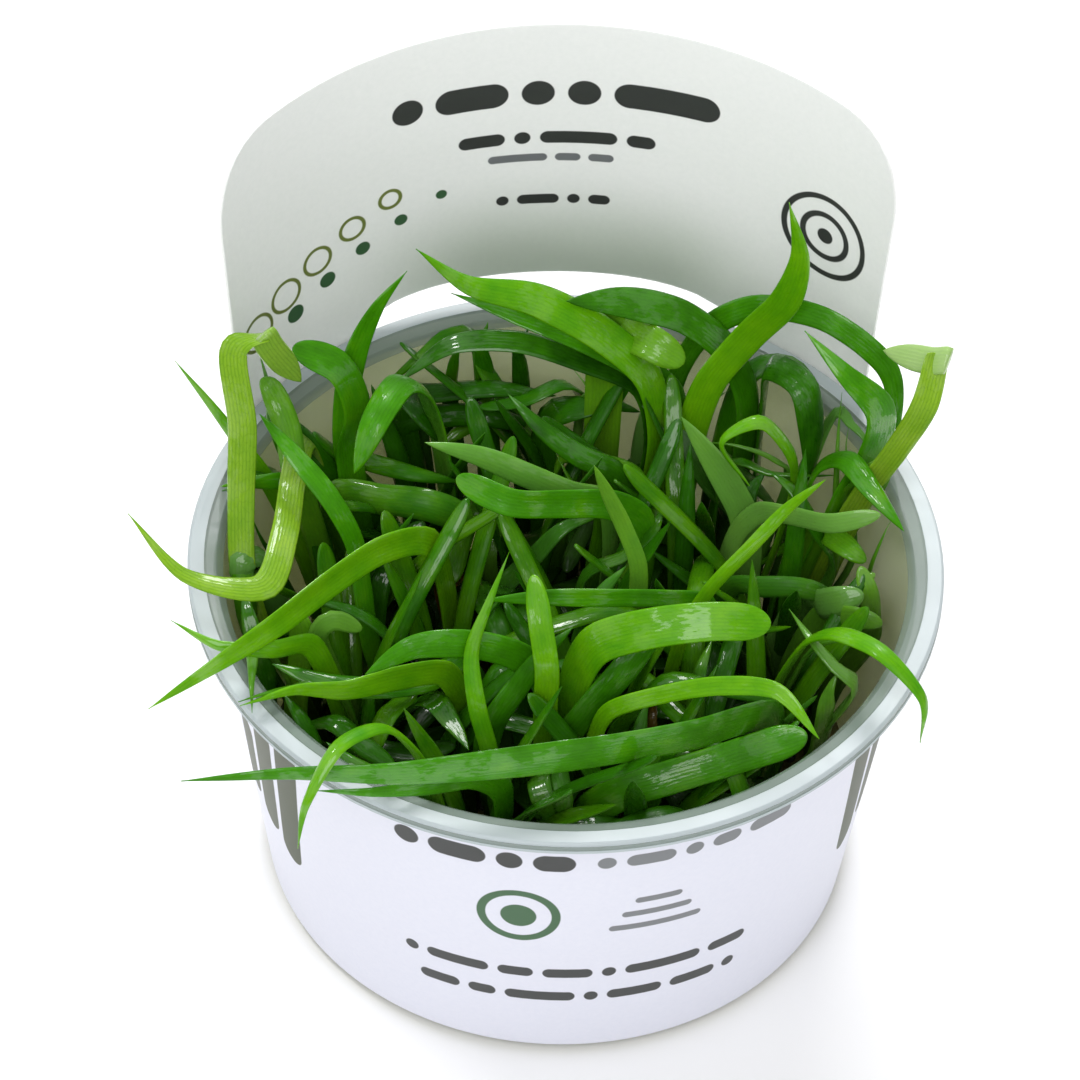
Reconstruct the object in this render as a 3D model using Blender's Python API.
"""Dwarf sagittaria grown in a clear plastic cup, with a wrap-round label that has a tall tab.

Metres, +Z up. The origin is the middle of the cup's flat base, and -Y is the front.
The cup, the label, the growing gel, each large leaf and each small plantlet is its own object.
"""

import math

import bmesh
import bpy
import numpy as np
from mathutils import Vector
from mathutils.bvhtree import BVHTree

MM = 0.001

# Cup, in millimetres
CUP_HEIGHT = 52.0
CUP_SEGMENTS = 40
FLANGE_RADIUS = 47.5
FLANGE_THICKNESS = 1.1
LIP_DROP = 1.8
LIP_WALL = 0.8
OPENING_RADIUS = 43.9
BODY_TOP_RADIUS = 43.8
BODY_BASE_RADIUS = 37.4
WALL = 0.6
FLOOR = 0.9

# Label, in millimetres
LABEL_THICKNESS = 0.5
LABEL_GAP = 0.35
LABEL_LOW = 1.5
LABEL_HIGH = 49.5
TAB_MIDDLE_DEG = 94.7
TAB_HALF_DEG = 56.6
TAB_TOP = 95.2
TAB_LEAN = 0.075
TAB_FLARE_START = 40.0
TAB_FLARE_END = 50.3
TAB_INNER_RADIUS = 47.95
SLOT_HALF_DEG = 32.5
SLOT_TOP = 55.2

# Growing gel, in millimetres
GEL_TOP = 12.0
GEL_GAP = 0.35

# Leaves, in millimetres
LEAF_GAP = 0.35
LEAF_THICKNESS = 0.8
ROOT_HEIGHT = GEL_TOP + 1.0
ROOT_PULL = 0.74
LEAF_STEPS = 9
PLANTLET_STEPS = 5

# Each large leaf: name, width, the compass angle that its flat side looks at (None is along its own
# arch), and the places that it passes through above the tangle, from its stalk to its tip.
LARGE_LEAVES = (
    ("leaf_tall_back_right", 4.0, -90, ((17, 26, 55), (23, 27, 66), (28, 25, 77), (26, 25, 90))),
    ("leaf_upright_left", 3.4, -90,
     ((-40, -3, 45), (-41, 4, 56), (-41, 9, 68), (-42, 13, 76), (-40, 14, 78), (-37, 14, 73), (-34, 15, 66))),
    ("leaf_long_front", 4.0, -45,
     ((26, -22, 47), (11, -34, 55), (-2, -39, 58), (-14, -42, 58), (-31, -42, 57), (-45, -43, 56))),
    ("leaf_top_back_left", 4.4, -45,
     ((11, 25, 56), (3, 26, 66), (-7, 26, 72), (-16, 24, 76), (-20, 24, 81))),
    ("leaf_dark_back", 4.2, -45, ((23, 29, 51), (17, 30, 63), (8, 29, 68), (-1, 26, 71))),
    ("leaf_folded_right", 3.3, -90,
     ((37, 14, 48), (41, 12, 60), (45, 12, 72), (46, 15, 74), (43, 18, 72), (39, 20, 70))),
    ("leaf_broad_blunt", 4.6, -135, ((3, -20, 56), (9, -21, 61), (16, -21, 63), (25, -19, 61))),
    ("leaf_curled_left", 3.4, None,
     ((-34, 17, 54), (-35, 0, 56), (-37, -12, 57), (-44, -14, 59), (-50, -11, 61), (-54, -7, 64))),
    ("leaf_low_left_tip", 3.6, -30,
     ((-18, 1, 53), (-28, -10, 57), (-36, -21, 59), (-42, -26, 58), (-50, -30, 54))),
    ("leaf_high_left_tip", 3.0, -45, ((-32, -19, 55), (-37, -23, 57), (-42, -23, 58), (-48, -20, 59))),
    ("leaf_arch_over_right", 3.0, -135,
     ((14, 33, 52), (20, 30, 66), (29, 25, 72), (37, 22, 69), (42, 19, 64), (42, 17, 58))),
    ("leaf_lance_right", 4.2, -60, ((37, 16, 52), (40, 17, 60), (36, 16, 67), (29, 21, 72))),
    ("leaf_drooping_right", 2.6, None,
     ((30, -12, 50), (35, -18, 58), (41, -24, 59), (44, -26, 55), (44, -26, 48))),
    ("leaf_rim_right", 3.0, None, ((34, 17, 54), (39, 9, 56), (43, 3, 55))),
    ("leaf_thick_front", 4.2, -135, ((5, -29, 38), (17, -28, 44), (30, -27, 50))),
    ("leaf_arch_front_right", 2.2, -135,
     ((6, -25, 51), (15, -27, 57), (23, -28, 60), (28, -30, 59), (31, -33, 56))),
    ("leaf_drooping_front", 2.2, None,
     ((-17, -33, 50), (-22, -37, 60), (-27, -43, 62), (-30, -47, 57), (-31, -47, 49))),
    ("leaf_low_front", 3.0, -45, ((-11, -36, 50), (-19, -41, 54), (-26, -43, 55), (-32, -43, 55))),
    ("leaf_spike_left", 2.4, -90, ((-37, 12, 48), (-43, 14, 58), (-47, 16, 63), (-50, 17, 67))),
    ("leaf_low_left", 2.8, -45, ((-15, -17, 48), (-25, -23, 51), (-32, -26, 54), (-39, -29, 54))),
    ("leaf_band_front_left", 3.6, -45,
     ((-3, -18, 50), (-9, -21, 57), (-15, -23, 60), (-20, -24, 59), (-24, -25, 56))),
    ("leaf_spear_front", 2.2, -90,
     ((-9, -28, 48), (-11, -26, 56), (-11, -22, 60), (-9, -20, 65), (-7, -17, 70))),
    ("leaf_upright_middle", 2.8, -90, ((-2, -22, 48), (-2, -22, 55), (-3, -19, 60), (-4, -15, 64))),
    ("leaf_glossy_middle", 3.0, -90, ((-9, -24, 44), (-6, -23, 51), (-2, -21, 57), (1, -18, 58))),
    ("leaf_diagonal_middle", 3.6, -90, ((1, -25, 46), (6, -24, 54), (10, -21, 59), (15, -16, 60))),
    ("leaf_bar_middle", 2.2, -45, ((18, -6, 50), (9, -11, 56), (-1, -13, 58), (-10, -13, 57))),
    ("leaf_pale_spear", 2.2, -90, ((9, -1, 52), (6, 0, 60), (3, -2, 70))),
    ("leaf_blunt_left", 3.6, -45, ((9, 7, 52), (0, 2, 59), (-7, -1, 62), (-14, 2, 63))),
    ("leaf_pale_left", 3.0, -45, ((5, 11, 50), (-1, 7, 56), (-9, 5, 63), (-18, 4, 67))),
    ("leaf_hanging_left", 3.0, None, ((-18, 24, 54), (-22, 18, 63), (-25, 11, 62), (-27, 8, 57))),
    ("leaf_lance_back_left", 3.2, -90, ((-29, 20, 54), (-28, 22, 61), (-26, 22, 70), (-21, 21, 80))),
    ("leaf_second_back_left", 4.0, -45, ((14, 26, 54), (5, 27, 62), (-6, 28, 66), (-15, 29, 69))),
    ("leaf_third_back_left", 2.8, -45,
     ((10, 28, 52), (0, 28, 59), (-11, 28, 62), (-18, 27, 60), (-22, 26, 56))),
    ("leaf_dome_left", 4.2, None, ((-29, 19, 52), (-28, 19, 59), (-32, 20, 66), (-36, 20, 67))),
    ("leaf_stalk_left", 2.8, -45, ((-25, -4, 42), (-26, 0, 50), (-29, 2, 57), (-35, 7, 62), (-39, 11, 64))),
    ("leaf_arch_inner_right", 3.6, None,
     ((25, 29, 51), (26, 25, 62), (30, 20, 62), (31, 19, 54), (31, 19, 47))),
    ("leaf_loop_right", 1.8, None,
     ((29, 16, 50), (27, 14, 59), (23, 14, 63), (19, 13, 62), (20, 12, 58), (23, 11, 54))),
    ("leaf_thin_diagonal_right", 1.8, -90, ((16, -9, 52), (21, -8, 60), (27, -6, 68), (31, -7, 74))),
    ("leaf_pale_right", 2.6, -135, ((23, 11, 48), (29, 5, 55), (35, 1, 58), (39, 2, 59))),
    ("leaf_grey_right", 3.6, -90, ((23, 12, 46), (19, 13, 55), (14, 15, 62))),
    ("leaf_side_left", 2.4, -45, ((-30, 11, 50), (-38, 7, 56), (-43, 4, 58))),
    ("leaf_back_diagonal", 2.8, -45, ((7, 17, 48), (-1, 16, 55), (-8, 20, 60))),
)

# Plantlets stand in rings about the middle: radius of the ring, how many, and the first one's angle.
PLANTLET_RINGS = ((3.0, 1, 0.0), (16.0, 4, 20.0), (29.0, 9, 50.0))
PLANTLET_LEAVES = 5
CROWN_RADIUS = 1.7
CROWN_HEIGHT = 6.0
GOLDEN_ANGLE = math.radians(137.5)

# Leaves make room for one another along a slanted line and sideways, nearest first, and each stalk's
# root tries places round the first one.
ROOM_LINE = np.array((0.0, -0.69, 0.72))
ROOM_SIDE = np.array((1.0, 0.0, 0.0))
ROOM_STEP = 0.7
ROOM_REACH = 5
ROOT_TRIES = 16
ROOT_SPREAD = 1.8


def clear_scene():
    for old in list(bpy.data.objects):
        bpy.data.objects.remove(old, do_unlink=True)


def make_material(name, colour, roughness, alpha=1.0):
    material = bpy.data.materials.new(name)
    material.use_nodes = True
    shader = material.node_tree.nodes["Principled BSDF"]
    shader.inputs["Base Color"].default_value = (*colour, 1.0)
    shader.inputs["Roughness"].default_value = roughness
    shader.inputs["Metallic"].default_value = 0.0
    shader.inputs["Alpha"].default_value = alpha
    material.diffuse_color = (*colour, alpha)
    return material


def add_object(name, bm, material, smooth_deg=40.0):
    bmesh.ops.recalc_face_normals(bm, faces=bm.faces)
    mesh = bpy.data.meshes.new(name)
    bm.to_mesh(mesh)
    bm.free()
    mesh.shade_smooth()
    mesh.set_sharp_from_angle(angle=math.radians(smooth_deg))
    mesh.materials.append(material)
    made = bpy.data.objects.new(name, mesh)
    bpy.context.scene.collection.objects.link(made)
    return made


def turned(profile, segments):
    """A closed solid turned about Z from a profile that starts and ends on the axis."""
    bm = bmesh.new()
    verts = [bm.verts.new((radius * MM, 0.0, height * MM)) for radius, height in profile]
    edges = [bm.edges.new(pair) for pair in zip(verts, verts[1:])]
    bmesh.ops.spin(
        bm, geom=verts + edges, cent=(0, 0, 0), axis=(0, 0, 1), angle=math.tau,
        steps=segments, use_merge=True,
    )
    bmesh.ops.remove_doubles(bm, verts=bm.verts, dist=0.01 * MM)
    return bm


def body_radius(height):
    """Outer radius of the cup's wall, which widens evenly from its base to its flange."""
    return BODY_BASE_RADIUS + (BODY_TOP_RADIUS - BODY_BASE_RADIUS) * height / CUP_HEIGHT


def make_cup(material):
    under_flange = CUP_HEIGHT - FLANGE_THICKNESS
    profile = (
        (0, 0),
        (BODY_BASE_RADIUS - 0.9, 0),
        (BODY_BASE_RADIUS, 0.9),
        (body_radius(under_flange), under_flange),
        (FLANGE_RADIUS - LIP_WALL, under_flange),
        (FLANGE_RADIUS - LIP_WALL, CUP_HEIGHT - LIP_DROP),
        (FLANGE_RADIUS, CUP_HEIGHT - LIP_DROP),
        (FLANGE_RADIUS, CUP_HEIGHT - 0.4),
        (FLANGE_RADIUS - 0.4, CUP_HEIGHT),
        (OPENING_RADIUS + 1.4, CUP_HEIGHT),
        (OPENING_RADIUS + 1.0, CUP_HEIGHT - 0.5),
        (OPENING_RADIUS, CUP_HEIGHT - 0.6),
        (body_radius(CUP_HEIGHT - 1.5) - WALL, CUP_HEIGHT - 1.5),
        (body_radius(FLOOR) - WALL, FLOOR + 0.6),
        (body_radius(FLOOR) - WALL - 0.8, FLOOR),
        (0, FLOOR),
    )
    return add_object("cup", turned(profile, CUP_SEGMENTS), material, 30.0)


def make_gel(material):
    def inside(height):
        return body_radius(height) - WALL - GEL_GAP

    low = FLOOR + GEL_GAP
    profile = (
        (0, low),
        (inside(low) - 1.0, low),
        (inside(low + 1.0), low + 1.0),
        (inside(GEL_TOP), GEL_TOP),
        (0, GEL_TOP),
    )
    return add_object("growing_gel", turned(profile, CUP_SEGMENTS // 2), material, 30.0)


def tab_top(turn):
    """Height of the tab's upper edge at an angle from its middle: a gentle crown with round corners."""
    across = abs(turn) / TAB_HALF_DEG
    crown = TAB_TOP - 2.6 * across**2
    corner = max(0.0, (across - 0.78) / 0.22)
    return crown - 10.5 * (1.0 - math.sqrt(max(0.0, 1.0 - corner**2.4)))


def label_radius(turn, height):
    """Inner radius of the sheet: close to the cup, and flaring past the flange near the tab."""
    close = body_radius(height) + LABEL_GAP
    rise = min(1.0, max(0.0, (height - TAB_FLARE_START) / (TAB_FLARE_END - TAB_FLARE_START)))
    fade = min(1.0, max(0.0, (TAB_HALF_DEG + 22.0 - abs(turn)) / 22.0))
    blend = rise * rise * (3.0 - 2.0 * rise) * fade
    proud = TAB_INNER_RADIUS + TAB_LEAN * max(0.0, height - TAB_FLARE_END)
    return close + (proud - close) * blend


def make_label(material):
    """Lays a flat grid of angle by height, cuts the slot and the outline, bends it round and thickens it."""
    side_turns = [64.0, 72.0, 81.0] + [90.0 + 9.0 * step for step in range(11)]
    tab_turns = [0.0, 9.0, 18.0, 26.0, SLOT_HALF_DEG, 40.0, 46.0, 50.5, 53.5, 55.5, TAB_HALF_DEG]
    half = tab_turns + side_turns
    turns = [-turn for turn in half[:0:-1]] + half
    heights = [LABEL_LOW, TAB_FLARE_START, 45.0, LABEL_HIGH, SLOT_TOP, 70.0, 82.0, TAB_TOP]
    bm = bmesh.new()
    bmesh.ops.create_grid(bm, x_segments=len(turns) - 1, y_segments=len(heights) - 1, size=1.0)
    columns = sorted({round(vert.co.x, 5) for vert in bm.verts})
    rows = sorted({round(vert.co.y, 5) for vert in bm.verts})
    for vert in bm.verts:
        vert.co.x = turns[columns.index(round(vert.co.x, 5))]
        vert.co.y = heights[rows.index(round(vert.co.y, 5))]
    unwanted = []
    for face in bm.faces:
        middle = face.calc_center_median()
        in_slot = abs(middle.x) < SLOT_HALF_DEG and LABEL_HIGH < middle.y < SLOT_TOP
        beside_tab = abs(middle.x) > TAB_HALF_DEG and middle.y > LABEL_HIGH
        if in_slot or beside_tab:
            unwanted.append(face)
    bmesh.ops.delete(bm, geom=unwanted, context="FACES")
    for vert in bm.verts:
        turn, height = vert.co.x, vert.co.y
        if height > SLOT_TOP:
            share = (height - SLOT_TOP) / (TAB_TOP - SLOT_TOP)
            height = SLOT_TOP + share * (tab_top(turn) - SLOT_TOP)
        angle = math.radians(TAB_MIDDLE_DEG - turn)
        radius = label_radius(turn, height)
        vert.co = Vector((radius * math.cos(angle), radius * math.sin(angle), height)) * MM
    bmesh.ops.remove_doubles(bm, verts=bm.verts, dist=0.01 * MM)
    bmesh.ops.recalc_face_normals(bm, faces=bm.faces)
    lowest = min(bm.faces, key=lambda face: face.calc_center_median().z)
    outward = lowest.calc_center_median().xy.to_3d()
    if lowest.normal.dot(outward) > 0:
        bmesh.ops.reverse_faces(bm, faces=bm.faces)
    bmesh.ops.solidify(bm, geom=bm.faces, thickness=LABEL_THICKNESS * MM)
    return add_object("label_sleeve", bm, material, 30.0)


def smooth_route(places, steps):
    """Evenly spaced points on a smooth curve through the places, which leaves the first one upwards."""
    places = [np.array(place, float) for place in places]
    ghosts = [places[0] - (0.0, 0.0, 12.0), *places, 2 * places[-1] - places[-2]]
    fine = []
    for before, start, end, after in zip(ghosts, ghosts[1:], ghosts[2:], ghosts[3:]):
        knots = np.cumsum([0.0] + [
            max(1e-6, np.linalg.norm(b - a)) ** 0.5 for a, b in ((before, start), (start, end), (end, after))
        ])
        for t in np.linspace(knots[1], knots[2], 16, endpoint=False):
            a1 = before + (start - before) * (t - knots[0]) / (knots[1] - knots[0])
            a2 = start + (end - start) * (t - knots[1]) / (knots[2] - knots[1])
            a3 = end + (after - end) * (t - knots[2]) / (knots[3] - knots[2])
            b1 = a1 + (a2 - a1) * (t - knots[0]) / (knots[2] - knots[0])
            b2 = a2 + (a3 - a2) * (t - knots[1]) / (knots[3] - knots[1])
            fine.append(b1 + (b2 - b1) * (t - knots[1]) / (knots[2] - knots[1]))
    fine = np.array([*fine, places[-1]])
    along = np.concatenate(([0.0], np.cumsum(np.linalg.norm(np.diff(fine, axis=0), axis=1))))
    stations = np.linspace(0.0, along[-1], steps + 1)
    return np.stack([np.interp(stations, along, fine[:, axis]) for axis in range(3)], axis=1)


def blade_width(share):
    """Width of a blade along its length, as a share of its full width: slim stalk, long body, round tip."""
    rise = min(1.0, share / 0.4)
    body = 0.6 + 0.4 * rise * rise * (3.0 - 2.0 * rise)
    taper = max(0.0, (share - 0.7) / 0.3)
    return max(0.1, body * math.sqrt(max(0.0, 1.0 - taper**2.2)))


def leaf_sections(route, width, facing_deg, extra=0.0):
    """The four corners of each cross-section of a leaf, carried along its route without twisting."""
    tangents = np.gradient(route, axis=0)
    tangents /= np.linalg.norm(tangents, axis=1)[:, None]
    if facing_deg is None:
        reach = route[-1] - route[0]
        facing = math.atan2(reach[1], reach[0])
    else:
        facing = math.radians(facing_deg)
    side = np.array((-math.sin(facing), math.cos(facing), 0.0))
    sections = []
    last = len(route) - 1
    for index, (place, tangent) in enumerate(zip(route, tangents)):
        side = side - tangent * side.dot(tangent)
        side /= np.linalg.norm(side)
        flat = np.cross(tangent, side)
        share = index / last
        half_width = 0.5 * width * blade_width(share) + extra
        half_thick = 0.5 * LEAF_THICKNESS * (1.0 - 0.5 * share) + extra
        if index in (0, last):
            place = place + tangent * extra * (1 if index else -1)
        across = side * half_width
        through = flat * half_thick
        sections.append((place + across, place + through, place - across, place - through))
    return sections


def section_tree(sections):
    """The leaf's surface as a search tree, for finding what it would touch."""
    points = [tuple(corner) for section in sections for corner in section]
    faces = [(3, 2, 1, 0)]
    for row in range(len(sections) - 1):
        base = 4 * row
        faces += [(base + i, base + (i + 1) % 4, base + 4 + (i + 1) % 4, base + 4 + i) for i in range(4)]
    top = 4 * (len(sections) - 1)
    faces.append((top, top + 1, top + 2, top + 3))
    return BVHTree.FromPolygons(points, faces)


def object_tree(made):
    mesh = made.data
    points = [vert.co / MM for vert in mesh.vertices]
    return BVHTree.FromPolygons(points, [tuple(face.vertices) for face in mesh.polygons])


def leaf_mesh(sections):
    """Extrudes the first cross-section through all the others, so the leaf is one closed body."""
    bm = bmesh.new()
    face = bm.faces.new([bm.verts.new(corner * MM) for corner in sections[0]])
    for number, section in enumerate(sections[1:]):
        grown = bmesh.ops.extrude_face_region(bm, geom=[face])
        if number:
            bmesh.ops.delete(bm, geom=[face], context="FACES_ONLY")
        face = next(item for item in grown["geom"] if isinstance(item, bmesh.types.BMFace))
        for vert, corner in zip(face.verts, section):
            vert.co = corner * MM
    return bm


def touches(sections, trees):
    tree = section_tree(sections)
    return any(tree.overlap(other) for other in trees)


def root_shifts():
    """Places on a sunflower spiral about the wanted root, nearest first."""
    for step in range(ROOT_TRIES):
        reach = ROOT_SPREAD * math.sqrt(step)
        angle = step * GOLDEN_ANGLE
        yield reach * math.cos(angle), reach * math.sin(angle)


def room_moves():
    """Moves along the slanted line and sideways, smallest first; sideways counts double."""
    span = range(-ROOM_REACH, ROOM_REACH + 1)
    pairs = [(along, aside) for along in span for aside in span]
    pairs.sort(key=lambda pair: pair[0] ** 2 + 4 * pair[1] ** 2)
    return [ROOM_STEP * (along * ROOM_LINE + aside * ROOM_SIDE) for along, aside in pairs]


def leaf_routes(places):
    """Every route that a large leaf may take, the wanted one first."""
    first = np.array(places[0], float)
    stalk = first[:2] * ROOT_PULL
    for move in room_moves():
        moved = [np.array(place, float) + move for place in places]
        for shift in root_shifts():
            root = np.array((*(stalk + shift), ROOT_HEIGHT))
            yield smooth_route([root, *moved], LEAF_STEPS)


def grow_large_leaf(name, width, facing, places, material, trees):
    for route in leaf_routes(places):
        if not touches(leaf_sections(route, width, facing, LEAF_GAP), trees):
            break
    else:
        print(name, "found no free route")
    sections = leaf_sections(route, width, facing)
    trees.append(section_tree(sections))
    return add_object(name, leaf_mesh(sections), material)


def plantlet_places():
    for ring, count, first_deg in PLANTLET_RINGS:
        for index in range(count):
            angle = math.radians(first_deg + 360.0 * index / count)
            yield ring * math.cos(angle), ring * math.sin(angle)


def crown_sections(x, y, extra=0.0):
    """The lower and upper square of a crown, the short stem that a plantlet's leaves grow from."""
    low = GEL_TOP + LEAF_GAP
    sections = []
    for radius, height in ((CROWN_RADIUS, low), (CROWN_RADIUS * 0.7, low + CROWN_HEIGHT)):
        grown = radius + extra
        corners = ((grown, 0), (0, grown), (-grown, 0), (0, -grown))
        sections.append([np.array((x + dx, y + dy, height)) for dx, dy in corners])
    return sections


def plantlet_leaf_routes(x, y, index):
    """The routes that one leaf of a plantlet may take: turned about the crown, then shorter."""
    height = 57.0 - 5.0 * (index % 3)
    reach = 10.0 + 4.0 * (index % 4)
    for shorten in (1.0, 0.85, 0.7, 0.55, 0.4):
        for turn in range(24):
            angle = index * GOLDEN_ANGLE + math.radians(15.0 * turn) + 0.05 * x
            way = np.array((math.cos(angle), math.sin(angle)))
            crown = np.array((x, y)) + way * 0.5 * (index % 2)
            knee = crown + way * reach * 0.3
            tip = crown + way * reach * shorten
            if np.linalg.norm(tip) > BODY_TOP_RADIUS - 4.0:
                continue
            top = GEL_TOP + (height - GEL_TOP) * shorten
            low = GEL_TOP + LEAF_GAP + 2.0
            bend = low + (top - low) * 0.6
            yield smooth_route([(*crown, low), (*knee, bend), (*tip, top)], PLANTLET_STEPS), angle


def free_crown(x, y, trees):
    for dx, dy in root_shifts():
        if not touches(crown_sections(x + dx, y + dy, LEAF_GAP), trees):
            return x + dx, y + dy
    print("no free place for a crown near", x, y)
    return x, y


def grow_plantlet(name, x, y, material, trees):
    """A crown with narrow leaves, joined as the one piece that it grows as."""
    x, y = free_crown(x, y, trees)
    crown = add_object(name, leaf_mesh(crown_sections(x, y)), material)
    own = [section_tree(crown_sections(x, y))]
    leaves = bpy.data.collections.new(name + "_leaves")
    bpy.context.scene.collection.children.link(leaves)
    for index in range(PLANTLET_LEAVES):
        width = 2.0 + 0.3 * (index % 3)
        for route, angle in plantlet_leaf_routes(x, y, index):
            facing = math.degrees(angle)
            if touches(leaf_sections(route, width, facing, LEAF_GAP), trees):
                continue
            sections = leaf_sections(route, width, facing)
            own.append(section_tree(sections))
            helper = add_object(f"{name}_leaf_{index + 1}", leaf_mesh(sections), material)
            bpy.context.scene.collection.objects.unlink(helper)
            leaves.objects.link(helper)
            helper.hide_render = True
            helper.display_type = "WIRE"
            break
        else:
            print(name, "leaf", index, "found no free route")
    union = crown.modifiers.new("join leaves", "BOOLEAN")
    union.operation = "UNION"
    union.solver = "EXACT"
    union.operand_type = "COLLECTION"
    union.collection = leaves
    trees.extend(own)
    return crown


def main():
    clear_scene()
    clear_plastic = make_material("clear_plastic", (0.86, 0.90, 0.90), 0.15, 0.35)
    label_film = make_material("label_film", (0.90, 0.90, 0.93), 0.45)
    gel = make_material("gel", (0.42, 0.40, 0.28), 0.2)
    leaf_green = make_material("leaf_green", (0.12, 0.36, 0.02), 0.35)
    young_green = make_material("young_green", (0.08, 0.24, 0.02), 0.4)
    holders = (make_cup(clear_plastic), make_label(label_film), make_gel(gel))
    trees = [object_tree(holder) for holder in holders]
    for name, width, facing, places in LARGE_LEAVES:
        grow_large_leaf(name, width, facing, places, leaf_green, trees)
    for number, (x, y) in enumerate(plantlet_places(), 1):
        grow_plantlet(f"plantlet_{number:02d}", x, y, young_green, trees)


main()
